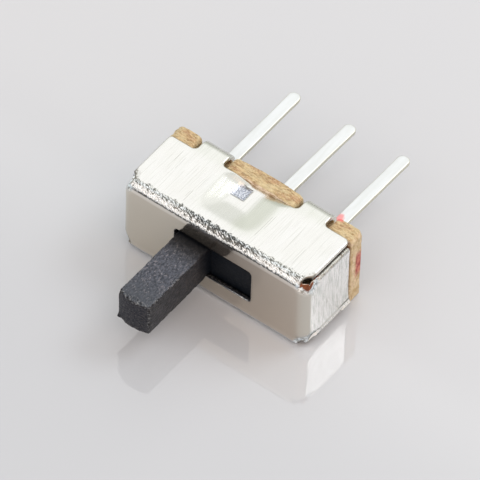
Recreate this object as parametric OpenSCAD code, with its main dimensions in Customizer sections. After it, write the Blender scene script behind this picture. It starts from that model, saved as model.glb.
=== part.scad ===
// Miniature slide switch with one pole and two positions, lying on one of its long sides.
// The knob points along -Y and slides along X, and the three pins point along +Y.
// The origin is on the surface that the switch lies on, under the middle of its bounding box.

/* [Case] */
// Length of the case along the knob's travel
case_length = 8.6; // [8.5:0.1:9.2]
// Height of the case from one long side to the other
case_height = 3.7; // [3.6:0.1:4.2]
// Depth of the case from its front face to the base plate
case_depth = 2.85; // [2.8:0.05:3.2]
// Thickness of the sheet that the case is folded from
sheet = 0.2; // [0.18:0.01:0.24]
// Outside radius of the folds along the long sides
long_fold = 0.3; // [0.28:0.01:0.4]
// Outside radius of the folds at the two ends
end_fold = 0.42; // [0.36:0.01:0.5]
// Radius of the round relief at each corner of the front face
relief_radius = 0.5; // [0.46:0.01:0.54]

/* [Slot and knob] */
// Length of the slot that the knob slides in
slot_length = 3.6; // [3.6:0.1:3.8]
// Height of the slot
slot_height = 1.7; // [1.5:0.05:1.8]
// Radius of the slot's corners
slot_corner = 0.15; // [0.1:0.01:0.2]
// How far the knob stands out of the front face
knob_reach = 3.7; // [2:0.1:6]
// Width of the knob along its travel
knob_width = 1.44; // [1.36:0.02:1.5]
// Height of the knob across its travel
knob_height = 1.42; // [1.3:0.02:1.46]
// How far the knob slides from one position to the other
travel = 1.85; // [1.8:0.05:1.95]

/* [Base plate] */
// Thickness of the base plate
plate_thickness = 0.65; // [0.6:0.05:1]
// Radius of the base plate's corners
plate_corner = 0.28; // [0.2:0.01:0.4]
// Width of each folded tab that holds the base plate
tab_width = 1.24; // [1:0.02:1.3]
// Distance from the middle of the switch to the middle of each tab
tab_place = 2.37; // [2.3:0.01:2.5]

/* [Pins] */
// Distance from one pin to the next
pin_pitch = 2.54; // [2.5:0.01:2.54]
// Width of each pin
pin_width = 0.5; // [0.4:0.05:0.6]
// Thickness of each pin
pin_thickness = 0.2; // [0.2:0.01:0.32]
// Length of each pin behind the base plate
pin_length = 5.2; // [3:0.1:6]

/* [Hidden] */
$fn = 48;
slack = 0.01;

// Places along Y are measured from the front face, and front_y puts that face in the part's frame.
total_depth = knob_reach + case_depth + plate_thickness + pin_length;
front_y = knob_reach - total_depth / 2;
middle = case_height / 2;
plate_back = case_depth + plate_thickness;

// The long sides stop short of the ends, and the end walls stop short of the long sides and the back.
side_setback = 0.12;
side_corner = 0.18;
seam = 0.2;
end_setback = 0.1;
side_end = case_length / 2 - side_setback;
end_top = middle - sheet - seam;

// Each corner relief is a ball-shaped cut around the place where three walls would meet.
relief_place = [case_length / 2 + 0.05, 0.25, middle - 0.15];

// A shallow dish is pressed into each long side beside the base plate, with a square punch mark in it.
dish_radius = 1.65;
dish_depth = 0.22;
dish_place = case_depth - 0.3;
dish_ball = (dish_radius * dish_radius + dish_depth * dish_depth) / (2 * dish_depth);
punch_place = [-0.4, case_depth - 0.58];
punch_size = [0.66, 0.6];
punch_depth = dish_depth + 0.05;

// Each tab runs past the base plate's edge and is folded down over its back.
tab_fold = 0.5;
tab_lap = 0.45;
tab_fillet = 0.18;
notch_gap = 0.15;
notch_width = tab_width + 2 * notch_gap;
notch_depth = tab_fold;
land_corner = 0.2;
land_inner = tab_place - notch_width / 2;
land_outer = tab_place + notch_width / 2;
tab_root = 0.2;

// The slider is at the left end of its travel, and its flange covers the slot all the way.
play = 0.05;
knob_middle = -travel / 2;
flange_length = case_length - 2 * sheet - travel - 2 * play;
flange_height = case_height - 2 * sheet - 0.2;
flange_front = sheet + play;
flange_back = 1;
flange_corner = 0.15;
crown_radius = 2;

// The slider's rear half is a hollow housing that holds the clip.
housing_length = 4.4;
housing_height = 2.2;
housing_back = 2.2;
clip_front = 1.15;
clip_back = 2.1;
clip_length = 3.8;
clip_height = 1.4;
clip_sheet = 0.15;
clip_gap = 0.03;
blade_channel = 0.6;
ridge_half = 0.55;
ridge_steps = 12;

// Each terminal is one flat strip: a contact blade, a wider shoulder against the plate, and the pin.
blade_front = 1.5;
blade_width = 1;
blade_corner = 0.15;
shoulder_width = 1.3;
shoulder_depth = 0.3;

// A rectangle w wide that starts at y = 0 and is d deep, with its two front corners rounded.
module front_rounded(w, d, r) {
    translate([-w / 2, r]) square([w, d - r]);
    translate([-w / 2 + r, 0]) square([w - 2 * r, d]);
    for (side = [-1, 1]) translate([side * (w / 2 - r), r]) circle(r);
}

// A rectangle about the origin with all four corners rounded.
module rounded(w, h, r) {
    square([w, h - 2 * r], center = true);
    square([w - 2 * r, h], center = true);
    for (x = [-1, 1], y = [-1, 1]) translate([x * (w / 2 - r), y * (h / 2 - r)]) circle(r);
}

// Stands a drawing of X across and Z up on the plane y = 0, and makes it d deep along +Y.
module upright(d) {
    translate([0, d, 0]) rotate([90, 0, 0]) linear_extrude(d) children();
}

// Repeats a shape above the middle of the case as its mirror image below.
module both_sides() {
    for (flip = [0, 1]) mirror([0, 0, flip]) children();
}

module box_block(length, height, depth, end_radius, long_radius) {
    intersection() {
        translate([0, 0, -height / 2]) linear_extrude(height) front_rounded(length, depth, end_radius);
        translate([-length / 2, 0, 0]) rotate([0, 90, 0]) linear_extrude(length)
            front_rounded(height, depth, long_radius);
    }
}

module box_walls() {
    difference() {
        box_block(case_length, case_height, case_depth, end_fold, long_fold);
        translate([0, sheet, 0])
            box_block(case_length - 2 * sheet, case_height - 2 * sheet, case_depth,
                      end_fold - sheet, long_fold - sheet);
    }
}

// The gap between a long side and an end wall, and the trimmed back edge of the end wall.
module seam_cut() {
    translate([side_end, -slack, end_top]) cube([side_setback + slack, case_depth + 2 * slack, 1]);
    translate([case_length / 2 - sheet - slack, sheet, end_top])
        cube([sheet + 2 * slack, case_depth, seam]);
    translate([case_length / 2 - sheet - slack, case_depth - end_setback, -slack])
        cube([sheet + 2 * slack, end_setback + slack, end_top + 2 * slack]);
}

// Rounds the back corner of a long side.
module side_corner_cut() {
    translate([side_end - side_corner, case_depth - side_corner, middle - sheet - slack])
        linear_extrude(sheet + 2 * slack) difference() {
            square(side_corner + slack);
            circle(side_corner);
        }
}

module corner_relief() {
    translate(relief_place) sphere(relief_radius);
}

module dish_ball(extra) {
    translate([0, dish_place, middle - dish_depth + dish_ball]) sphere(dish_ball + extra, $fn = 200);
}

// The sheet that the dish pushes into the case, below the inside of the long side.
module dish_back() {
    intersection() {
        dish_ball(sheet);
        translate([-dish_radius - 0.5, 0.5, middle - sheet - 1])
            cube([2 * dish_radius + 1, case_depth - 0.5, 1 + sheet / 2]);
    }
}

module punch_cut() {
    translate([punch_place[0], punch_place[1], middle - punch_depth + 1])
        cube([punch_size[0], punch_size[1], 2], center = true);
}

// One tab in section: along the long side, round its fold and down the plate's back.
module tab_section() {
    translate([case_depth - tab_root, middle - sheet])
        square([plate_back + sheet - tab_fold - case_depth + tab_root, sheet]);
    translate([plate_back + sheet - tab_fold, middle - tab_fold]) difference() {
        circle(tab_fold);
        circle(tab_fold - sheet);
        translate([-2 * tab_fold, -tab_fold]) square([2 * tab_fold, 2 * tab_fold]);
        translate([-tab_fold, -2 * tab_fold]) square([3 * tab_fold, 2 * tab_fold]);
    }
    translate([plate_back, middle - tab_fold - tab_lap]) square([sheet, tab_lap]);
}

// The sheet's edge runs into each side of a tab with a fillet.
module tab_fillets() {
    for (side = [-1, 1]) translate([tab_place + side * tab_width / 2, case_depth - slack, middle - sheet])
        linear_extrude(sheet) difference() {
            translate([side > 0 ? 0 : -tab_fillet, 0]) square(tab_fillet);
            translate([side * tab_fillet, tab_fillet]) circle(tab_fillet);
        }
}

module tab() {
    translate([tab_place - tab_width / 2, 0, 0]) rotate([90, 0, 90]) linear_extrude(tab_width)
        tab_section();
    tab_fillets();
}

module case_shell() {
    color([0.80, 0.79, 0.76]) difference() {
        union() {
            difference() {
                box_walls();
                for (end = [0, 1]) mirror([end, 0, 0]) both_sides() {
                    seam_cut();
                    side_corner_cut();
                    corner_relief();
                }
                translate([0, -slack, 0]) upright(sheet + 2 * slack)
                    rounded(slot_length, slot_height, slot_corner);
            }
            both_sides() dish_back();
            for (end = [0, 1]) mirror([end, 0, 0]) both_sides() tab();
        }
        both_sides() {
            dish_ball(0);
            punch_cut();
        }
    }
}

// The plate's outline: a core between the notches, with a land between the tabs and one at each end.
module plate_outline() {
    square([case_length - 2 * plate_corner, case_height - 2 * notch_depth], center = true);
    rounded(2 * land_inner, case_height, land_corner);
    for (side = [-1, 1]) translate([side * (land_outer + case_length / 2) / 2, 0])
        rounded(case_length / 2 - land_outer, case_height, plate_corner);
}

module base_plate() {
    color([0.72, 0.55, 0.32]) translate([0, case_depth, 0]) upright(plate_thickness) difference() {
        plate_outline();
        for (n = [-1:1]) translate([n * pin_pitch, 0])
            square([pin_width, pin_thickness], center = true);
    }
}

// One terminal from above, about its own middle line.
module terminal_outline() {
    translate([0, blade_front]) front_rounded(blade_width, case_depth - blade_front, blade_corner);
    translate([-shoulder_width / 2, case_depth - shoulder_depth])
        square([shoulder_width, shoulder_depth]);
    translate([-pin_width / 2, case_depth - shoulder_depth])
        square([pin_width, shoulder_depth + plate_thickness + pin_length - pin_width / 2]);
    translate([0, plate_back + pin_length - pin_width / 2]) circle(pin_width / 2);
}

module terminal(n) {
    color([0.90, 0.90, 0.88]) translate([n * pin_pitch, 0, -pin_thickness / 2])
        linear_extrude(pin_thickness) terminal_outline();
}

// The knob's outer end is slightly crowned along its travel.
module knob() {
    intersection() {
        translate([-knob_width / 2, -knob_reach, -knob_height / 2])
            cube([knob_width, knob_reach + flange_front + slack, knob_height]);
        translate([0, crown_radius - knob_reach, -knob_height])
            linear_extrude(2 * knob_height) union() {
                circle(crown_radius, $fn = 200);
                translate([-knob_width, 0]) square([2 * knob_width, knob_reach]);
            }
    }
}

module slider() {
    color([0.13, 0.13, 0.14]) translate([knob_middle, 0, 0]) difference() {
        union() {
            knob();
            translate([0, flange_front, -flange_height / 2]) linear_extrude(flange_height)
                front_rounded(flange_length, flange_back - flange_front, flange_corner);
            translate([-housing_length / 2, flange_back - slack, -housing_height / 2])
                cube([housing_length, housing_back - flange_back + slack, housing_height]);
        }
        translate([-clip_length / 2 - play, clip_front, -clip_height / 2])
            cube([clip_length + 2 * play, housing_back, clip_height]);
        translate([-housing_length, blade_front - play, -blade_channel / 2])
            cube([2 * housing_length, housing_back, blade_channel]);
    }
}

// The clip's arms are flat, apart from two ridges that close on the terminals' blades.
arm_flat = clip_height / 2 - clip_sheet / 2;
arm_touch = pin_thickness / 2 + clip_gap + clip_sheet / 2;
ridges = [-pin_pitch / 2, pin_pitch / 2];
function ridge_shape(d) = abs(d) >= ridge_half ? 0 : pow(cos(90 * d / ridge_half), 2);
function arm_z(x) = arm_flat - (arm_flat - arm_touch) * max([for (r = ridges) ridge_shape(x - r)]);
arm_x = [
    -clip_length / 2,
    for (r = ridges, k = [-ridge_steps:ridge_steps]) r + ridge_half * k / ridge_steps,
    clip_length / 2
];

module clip_arm() {
    upright(clip_back - clip_front) polygon(concat(
        [for (x = arm_x) [x, arm_z(x) + clip_sheet / 2]],
        [for (k = [len(arm_x) - 1:-1:0]) [arm_x[k], arm_z(arm_x[k]) - clip_sheet / 2]]
    ));
}

module contact_clip() {
    color([0.83, 0.62, 0.36]) translate([knob_middle, clip_front, 0]) {
        both_sides() clip_arm();
        translate([-clip_length / 2, 0, -arm_flat]) cube([clip_length, clip_sheet, 2 * arm_flat]);
    }
}

translate([0, front_y, middle]) {
    case_shell();  // case
    base_plate();
    terminal(-1);  // terminal_left
    terminal(0);  // terminal_centre
    terminal(1);  // terminal_right
    slider();
    contact_clip();
}
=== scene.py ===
import bpy
import math
import numpy as np
from mathutils import Matrix, Vector, geometry, noise


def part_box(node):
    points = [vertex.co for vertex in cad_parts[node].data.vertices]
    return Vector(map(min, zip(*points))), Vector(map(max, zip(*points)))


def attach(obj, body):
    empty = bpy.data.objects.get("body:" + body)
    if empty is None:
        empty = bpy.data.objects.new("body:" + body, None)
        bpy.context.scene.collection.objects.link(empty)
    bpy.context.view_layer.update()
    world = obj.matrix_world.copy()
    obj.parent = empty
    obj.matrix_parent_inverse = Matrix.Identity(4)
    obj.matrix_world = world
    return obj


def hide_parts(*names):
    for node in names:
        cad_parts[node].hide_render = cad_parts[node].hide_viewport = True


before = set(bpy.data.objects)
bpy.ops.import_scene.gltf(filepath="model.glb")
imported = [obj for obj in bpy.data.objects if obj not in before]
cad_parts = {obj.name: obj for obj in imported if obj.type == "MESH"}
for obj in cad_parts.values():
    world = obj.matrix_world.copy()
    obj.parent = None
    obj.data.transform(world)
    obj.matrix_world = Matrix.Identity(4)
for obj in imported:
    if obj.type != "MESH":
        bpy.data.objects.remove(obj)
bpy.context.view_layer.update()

# Shapes are drawn in millimetres. X runs along the knob's travel, Y is measured back from the case's front
# face, and Z from the middle of the case. in_frame() takes them to the part's own frame, in metres.
MM = 0.001
case_low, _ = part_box("case")
slider_low, slider_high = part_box("slider")
plate_low, plate_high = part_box("base_plate")
pin_low, pin_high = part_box("terminal_centre")
FRONT_Y = case_low.y / MM
MIDDLE = (plate_low.z + plate_high.z) / 2 / MM
HALF_HEIGHT = (plate_high.z - plate_low.z) / 2 / MM
HALF_LENGTH = (plate_high.x - plate_low.x) / 2 / MM
PLATE_FRONT = plate_low.y / MM - FRONT_Y
PLATE_BACK = plate_high.y / MM - FRONT_Y
BLADE_FRONT = pin_low.y / MM - FRONT_Y
PIN_END = pin_high.y / MM - FRONT_Y
PIN_THICK = (pin_high.z - pin_low.z) / MM
PIN_PITCH = sum(corner.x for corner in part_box("terminal_right")) / 2 / MM
KNOB_TIP = slider_low.y / MM - FRONT_Y
HOUSING_BACK = slider_high.y / MM - FRONT_Y
FLANGE_LEFT = slider_low.x / MM
FLANGE_RIGHT = slider_high.x / MM
KNOB_X = (FLANGE_LEFT + FLANGE_RIGHT) / 2

# The case's sheet: its thickness, the outside radii of its folds, its tabs, and where its walls end.
SHEET = 0.2
LONG_FOLD = 0.3
END_FOLD = 0.42
TAB_FOLD = 0.5
TAB_LAP = 0.45
TAB_PLACE = 2.37
TAB_WIDTH = 1.24
TAB_FILLET = 0.18
TAB_CORNER = 0.12
SIDE_CORNER = 0.18
END_CORNER = 0.06
SIDE_END = HALF_LENGTH - 0.12
END_TOP = HALF_HEIGHT - 0.4
END_BACK = PLATE_FRONT - 0.1
FLAT_X = HALF_LENGTH - END_FOLD
FLAT_Z = HALF_HEIGHT - LONG_FOLD
QUARTER = math.pi / 2
LONG_BEND = LONG_FOLD * QUARTER
END_BEND = END_FOLD * QUARTER
SHEET_ROUNDING = 0.055

# A corner relief: the ball that cuts it, the hole's middle in the flat sheet, and where its torn lip points.
RELIEF_RADIUS = 0.46
RELIEF_PLACE = (HALF_LENGTH + 0.05, 0.25, HALF_HEIGHT - 0.22)
HOLE = (HALF_LENGTH + 0.17, HALF_HEIGHT + 0.01)
HOLE_LIP = 0.78
TORN_TO = (HALF_LENGTH - 0.07, 0.33, HALF_HEIGHT - 0.08)

# The dent in each long side has a flat floor with slopes around it, and a square punch mark in it.
DENT_DEPTH = 0.2
DENT_REACH = 1.3
DENT_LEFT_REACH = 1.0
DENT_LEFT, DENT_RIGHT, DENT_FRONT = -0.6, 0.06, PLATE_FRONT - 1.0
DENT_SHIFT = 0.35
PUNCH_PLACE = (-0.46, PLATE_FRONT - 0.51)
PUNCH_HALF = (0.30, 0.275)
PUNCH_DEPTH = 0.05

# Scratches along the upper long side: place along X, distances behind the front face, and half width.
SCRATCHES = [
    (-1.83, 0.55, 1.2, 0.016), (-1.90, 0.75, 1.15, 0.012), (1.27, 0.85, 2.0, 0.018), (1.36, 1.3, 2.1, 0.012),
    (3.17, 0.55, 1.5, 0.014), (-3.3, 1.9, 2.5, 0.014), (-3.02, 1.6, 2.3, 0.012)
]

SLOT_HALF = (1.77, 0.85)
SLOT_TOP = 0.805
SLOT_CORNER = 0.15
BOARD_BOW = 0.06

PIN_HALF = 0.25
BLADE_HALF = 0.5
SHOULDER_HALF = 0.65
SHOULDER_DEEP = 0.3

KNOB_HALF_WIDTH = 0.72
KNOB_HALF_HEIGHT = 0.71
KNOB_CROWN = 2.0
KNOB_ROOT = 0.6
FLANGE_TOP, FLANGE_FRONT, FLANGE_BACK = 1.54, 0.25, 1.0
HOUSING_HALF = (2.2, 1.1)
CAVITY_HALF, CAVITY_FRONT = (1.95, 0.7), 1.15
CHANNEL_HALF, CHANNEL_FRONT = (3.0, 0.3), 1.45


def in_frame(points):
    return (np.asarray(points, float) + (0, FRONT_Y, MIDDLE)) * MM


# ---------------------------------------------------------------- outlines
def rounded_outline(corners, radii):
    """A closed outline through the corners, each rounded by its radius."""
    out = []
    count = len(corners)
    for i in range(count):
        before, here, after = (np.array(corners[j % count], float) for j in (i - 1, i, i + 1))
        radius = radii[i] if hasattr(radii, "__len__") else radii
        if radius <= 0:
            out.append(here)
            continue
        to_before = (before - here) / np.linalg.norm(before - here)
        to_after = (after - here) / np.linalg.norm(after - here)
        half = math.acos(float(np.clip(to_before @ to_after, -1, 1))) / 2
        reach = radius / math.tan(half)
        bisector = (to_before + to_after) / np.linalg.norm(to_before + to_after)
        centre = here + bisector * radius / math.sin(half)
        start, end = here + to_before * reach - centre, here + to_after * reach - centre
        a0 = math.atan2(start[1], start[0])
        sweep = (math.atan2(end[1], end[0]) - a0 + math.pi) % (2 * math.pi) - math.pi
        steps = max(3, int(abs(sweep) * radius / 0.03))
        for k in range(steps + 1):
            a = a0 + sweep * k / steps
            out.append(centre + radius * np.array([math.cos(a), math.sin(a)]))
    return np.array(out)


def resample(outline, step):
    """Splits each straight run of a closed outline into pieces no longer than step."""
    out = []
    for a, b in zip(outline, np.roll(outline, -1, 0)):
        length = np.linalg.norm(b - a)
        if length < 1e-9:
            continue
        pieces = max(1, int(math.ceil(length / step)))
        out.extend(a + (b - a) * k / pieces for k in range(pieces))
    return np.array(out)


def inward(outline):
    """Unit normals into the material, for an outline that keeps the material on its left."""
    ahead = np.roll(outline, -1, 0) - outline
    ahead /= np.linalg.norm(ahead, axis=1)[:, None]
    left = np.stack([-ahead[:, 1], ahead[:, 0]], 1)
    both = left + np.roll(left, 1, 0)
    both /= np.linalg.norm(both, axis=1)[:, None]
    return both / np.clip((both * left).sum(1), 0.6, 1)[:, None]


def inside(loops, points):
    """Which points lie inside the outlines, counting crossings."""
    hit = np.zeros(len(points), bool)
    for loop in loops:
        a, b = loop, np.roll(loop, -1, 0)
        for k in range(0, len(points), 4000):
            x, y = points[k:k + 4000, 0, None], points[k:k + 4000, 1, None]
            spans = (a[:, 1] > y) != (b[:, 1] > y)
            rise = np.where(b[:, 1] == a[:, 1], 1, b[:, 1] - a[:, 1])
            cross = a[:, 0] + (y - a[:, 1]) * (b[:, 0] - a[:, 0]) / rise
            hit[k:k + 4000] ^= ((spans & (x < cross)).sum(1) % 2).astype(bool)
    return hit


def clear_of(points, loops, gap):
    """Which points keep at least the gap to every outline point."""
    edge = np.concatenate(loops)
    out = np.ones(len(points), bool)
    for k in range(0, len(points), 1500):
        near = ((points[k:k + 1500, None] - edge[None]) ** 2).sum(2).min(1)
        out[k:k + 1500] = near > gap * gap
    return out


def lattice(x0, x1, y0, y1, dx, dy):
    """A staggered grid of points over a rectangle."""
    xs = np.arange(x0, x1 + dx / 2, dx)
    ys = np.arange(y0, y1 + dy / 2, dy)
    grid = np.stack(np.meshgrid(xs, ys), -1)
    grid[1::2, :, 0] += dx / 2
    return grid.reshape(-1, 2)


def outside_box(points, x0, x1, y0, y1):
    x, y = points[:, 0], points[:, 1]
    return points[~((x > x0) & (x < x1) & (y > y0) & (y < y1))]


def smooth(t):
    t = np.clip(t, 0, 1)
    return t * t * (3 - 2 * t)


def grain(points, scale, seed=0.0, octaves=3):
    """Smooth random values about zero, one for each point, with features 1/scale apart on each axis."""
    scale = np.array(scale, float)
    wide = points if points.shape[1] == 3 else np.pad(points, ((0, 0), (0, 1)))
    if len(scale) == 2:
        scale = np.append(scale, 1.0)
    return np.array([noise.fractal(Vector(p), 0.9, 2.0, octaves) for p in wide * scale + seed])


# ---------------------------------------------------------------- meshes
def fill(layers, grid):
    """Triangles over the area inside the outlines, through the grid's points.

    Returns the points, the triangles, and the number that each outline point has among the points.
    """
    smallest = 1e-7
    flat = np.concatenate(layers + [grid])
    runs, start = [], 0
    for layer in layers:
        runs += [(start + k, start + (k + 1) % len(layer)) for k in range(len(layer))]
        start += len(layer)
    found = geometry.delaunay_2d_cdt([Vector(p) for p in flat], runs, [], 0, smallest)
    points = np.array([tuple(v) for v in found[0]])
    own = np.full(len(flat), -1)
    for new, olds in enumerate(found[3]):
        for old in olds:
            own[old] = new
    tris = np.array([f for f in found[2] if len(f) == 3])
    tris = tris[inside(layers, points[tris].mean(1))]
    turn = np.cross(points[tris[:, 1]] - points[tris[:, 0]], points[tris[:, 2]] - points[tris[:, 0]])
    tris, turn = tris[np.abs(turn) > smallest], turn[np.abs(turn) > smallest]
    tris[turn < 0] = tris[turn < 0][:, ::-1]
    used = np.unique(tris)
    renumber = np.full(len(points), -1)
    renumber[used] = np.arange(len(used))
    return points[used], renumber[tris], np.where(own >= 0, renumber[own], -1)


def rim_profile(thickness, edge, rim_steps, arc_steps):
    """The rim from one skin to the other: how far each ring lies in from the outline, and its depth."""
    angles = [QUARTER * k / arc_steps for k in range(1, arc_steps + 1)]
    arc = [(edge * (1 - math.sin(a)), edge * (1 - math.cos(a))) for a in angles]
    straight = [(0.0, edge + (thickness - 2 * edge) * k / rim_steps) for k in range(1, rim_steps)]
    return arc + straight + [(inset, thickness - depth) for inset, depth in arc[::-1]]


def plate_mesh(loops, grid, place, thickness, edge, step, rim_steps=1, arc_steps=2):
    """A plate with the outlines given, drawn flat, as faces and points.

    place(flat points, depths, is_rim) puts each point in space. The rim is rounded by the edge radius.
    Returns points, faces, and for each point its flat place, its depth and whether it is on the rim.
    """
    rims = [resample(loop, step) for loop in loops]
    normals = [inward(loop) for loop in rims]
    layers = [rim + n * edge for rim, n in zip(rims, normals)]
    grid = grid[inside(layers, grid)]
    grid = grid[clear_of(grid, layers, 0.55 * step)]
    skin, tris, own = fill(layers, grid)
    count = len(skin)
    flats = [skin, skin]
    depths = [np.zeros(count), np.full(count, thickness)]
    on_rim = [np.zeros(count), np.zeros(count)]
    faces = [tuple(t) for t in tris] + [tuple(t[::-1] + count) for t in tris]
    profile = rim_profile(thickness, edge, rim_steps, arc_steps)
    total, start = 2 * count, 0
    for rim, n in zip(rims, normals):
        size = len(rim)
        top = own[start:start + size]
        rings = [top]
        for inset, depth in profile:
            flats.append(rim + n * inset)
            depths.append(np.full(size, depth))
            on_rim.append(np.ones(size))
            rings.append(np.arange(total, total + size))
            total += size
        rings.append(top + count)
        for upper, lower in zip(rings, rings[1:]):
            after_u, after_l = np.roll(upper, -1), np.roll(lower, -1)
            faces += list(zip(upper, lower, after_l, after_u))
        start += size
    flats, depths, on_rim = np.concatenate(flats), np.concatenate(depths), np.concatenate(on_rim)
    return place(flats, depths, on_rim), faces, flats, depths, on_rim


def in_scene(name, data):
    """A new object of the scene, with this data."""
    obj = bpy.data.objects.new(name, data)
    bpy.context.scene.collection.objects.link(obj)
    return obj


def add_attribute(mesh, name, values):
    single = values.ndim == 1
    layer = mesh.attributes.new(name, "FLOAT" if single else "FLOAT_VECTOR", "POINT")
    layer.data.foreach_set("value" if single else "vector", values.astype(np.float32).ravel())


def new_object(name, points, faces, attributes=None):
    mesh = bpy.data.meshes.new(name)
    mesh.from_pydata([tuple(p) for p in in_frame(points)], [], [tuple(int(i) for i in f) for f in faces])
    for key, values in (attributes or {}).items():
        add_attribute(mesh, key, values)
    mesh.shade_smooth()
    mesh.validate()
    return in_scene(name, mesh)


def boolean(obj, other, operation):
    """Joins another solid to obj, or cuts it out, and removes the other."""
    step = obj.modifiers.new(operation, "BOOLEAN")
    step.operation, step.solver, step.object = operation, "EXACT", other
    bpy.context.view_layer.update()
    mesh = bpy.data.meshes.new_from_object(obj.evaluated_get(bpy.context.evaluated_depsgraph_get()))
    obj.modifiers.clear()
    obj.data = mesh
    bpy.data.objects.remove(other)


def slider_block(name, half, front, back):
    """A block about the knob's middle, from the front to the back given, for the slider's rear part."""
    (width, height), ys = half, (front, back)
    points = [(KNOB_X + x, y, z) for z in (-height, height) for y in ys for x in (-width, width)]
    faces = [(0, 2, 3, 1), (4, 5, 7, 6), (0, 1, 5, 4), (2, 6, 7, 3), (0, 4, 6, 2), (1, 3, 7, 5)]
    return new_object(name, points, faces)


# ---------------------------------------------------------------- the case
def fold(distance, flat, radius, depth):
    """How far out and how far back a point of the sheet lies, past a fold towards the back."""
    past = np.maximum(distance - flat, 0)
    turn = np.minimum(past / radius, QUARTER)
    out = np.where(past > 0, flat + (radius - depth) * np.sin(turn), distance)
    back = radius - (radius - depth) * np.cos(turn) + np.maximum(past - radius * QUARTER, 0)
    return out, back


def fold_tab(back, height, depth):
    """Bends the part of a long side behind the base plate's front down over its back."""
    start = PLATE_BACK + SHEET - TAB_FOLD
    bent_back, down = fold(back, start, TAB_FOLD, depth)
    return bent_back, np.where(back > start, HALF_HEIGHT - down, height)


def side_back(v):
    """Distance behind the front face of a place on a long side, from its place in the flat sheet."""
    return np.abs(v) - FLAT_Z - LONG_BEND + LONG_FOLD


def side_flat(back):
    """The place in the flat sheet of a place on a long side, from its distance behind the front face."""
    return back + FLAT_Z + LONG_BEND - LONG_FOLD


def end_flat(back):
    """The same for an end wall."""
    return back + FLAT_X + END_BEND - END_FOLD


def walls(flat):
    """Which places in the flat sheet are on a long side, and which on an end wall."""
    on_side = np.abs(flat[:, 1]) > FLAT_Z
    return on_side, (np.abs(flat[:, 0]) > FLAT_X) & ~on_side


def punch_edge(flat):
    """Distance outside the punched square's edge, on whichever long side the place is."""
    across = np.abs(flat[:, 0] - PUNCH_PLACE[0]) - PUNCH_HALF[0]
    along = np.abs(side_back(flat[:, 1]) - PUNCH_PLACE[1]) - PUNCH_HALF[1]
    return np.maximum(across, along)


def near_relief(flat):
    """One at the lip of a corner relief, falling to nothing a little way off."""
    away = np.hypot(np.abs(flat[:, 0]) - HOLE[0], np.abs(flat[:, 1]) - HOLE[1])
    return smooth((HOLE_LIP - away) / 0.12)


def into_relief(points, share):
    """Draws the deeper skin beside the right corner reliefs in across the holes, where the sheet tore."""
    level = np.column_stack([np.ones(len(points)), np.ones(len(points)), np.sign(points[:, 2])])
    gap = TORN_TO * level - points
    away = np.linalg.norm(points - RELIEF_PLACE * level, axis=1)
    below = smooth((RELIEF_PLACE[2] + 0.02 - np.abs(points[:, 2])) / 0.2)
    return points + gap * (0.85 * smooth((0.9 - away) / 0.4) * below * share)[:, None]


def board_bow(x):
    """How far the board and the case's back edges stand out backwards between the tabs."""
    return BOARD_BOW * smooth((1.6 - np.abs(x)) / 1.2)


def dent_away(flat):
    """Distance outside the dent's floor on a long side, as a share of the dent's reach."""
    back = side_back(flat[:, 1])
    u = flat[:, 0] - DENT_SHIFT * smooth((back - PLATE_FRONT) / 0.35 + 1)
    beside = np.maximum((DENT_LEFT - u) * DENT_REACH / DENT_LEFT_REACH, u - DENT_RIGHT)
    before = np.maximum(DENT_FRONT - back, 0)
    return (np.maximum(beside, 0) ** 4 + before ** 4) ** 0.25 / DENT_REACH


def dent_share(flat):
    """The dent's depth at each place as a share of its full depth, with both ends of its slope rounded."""
    bend = 0.2
    away = dent_away(flat)
    slope = np.where(away < bend, np.clip(away, 0, 1) ** 2 / (2 * bend), away - bend / 2)
    slope = np.where(away > 1 - bend, 1 - bend - (1 - np.minimum(away, 1)) ** 2 / (2 * bend), slope)
    return 1 - slope / (1 - bend)


def curled(flat):
    """One on the two stretches of an end wall's lower edge that curl outwards."""
    u = np.abs(flat[:, 0])
    front = smooth((u - end_flat(0.05)) / 0.15) * smooth((end_flat(0.95) - u) / 0.15)
    back = smooth((u - end_flat(2.1)) / 0.15) * smooth((end_flat(2.8) - u) / 0.1)
    return np.maximum(front, back)


def hinged(t, soft):
    """Twice t where t is positive and nothing where it is negative, with a soft corner between them."""
    return t + np.hypot(t, soft)


def case_texture(flat, depth):
    """Fine relief of the outer skin: crinkled folds, brushed end walls, and torn or burred edges."""
    u, v = flat[:, 0], flat[:, 1]
    on_side, on_end = walls(flat)
    past_bend = np.abs(v) - FLAT_Z
    in_bend = smooth((past_bend - 0.02) / 0.08) * smooth((0.62 - past_bend) / 0.2)
    slanted = np.stack([u + 0.8 * np.sign(v) * past_bend, past_bend + np.sign(v)], 1)
    crinkle = 0.6 * grain(slanted, (10.0, 7.0), 7.0, 3) + 0.4 * np.abs(grain(slanted, (12.0, 7.0), 17.0, 2))
    stamped = np.where(on_side, smooth(-punch_edge(flat) / 0.05), 0) * grain(flat, (11.0, 11.0), 1.0, 2)
    brushed = np.where(on_end & (np.abs(u) > FLAT_X + 0.5), 1, 0) * grain(flat, (8.0, 0.7), 27.0, 2)
    top_edge = np.where(on_end & (v > 0), 1 - smooth((END_TOP - v) / 0.11), 0)
    low_edge = np.where(on_end & (v < 0), 1 - smooth((END_TOP + v) / 0.16), 0)
    lip = near_relief(flat) * np.where(on_side, 0.2, 1.0)
    rough = grain(np.column_stack([flat, depth]), (10.0, 10.0, 10.0), 15.0, 3)
    torn = (lip + top_edge) * (0.02 * rough - 0.06)
    rolled = low_edge * (0.2 + 0.8 * curled(flat)) * (0.03 * rough + 0.09)
    return 0.022 * in_bend * crinkle + 0.012 * stamped + 0.011 * brushed + (torn + rolled)


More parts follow.
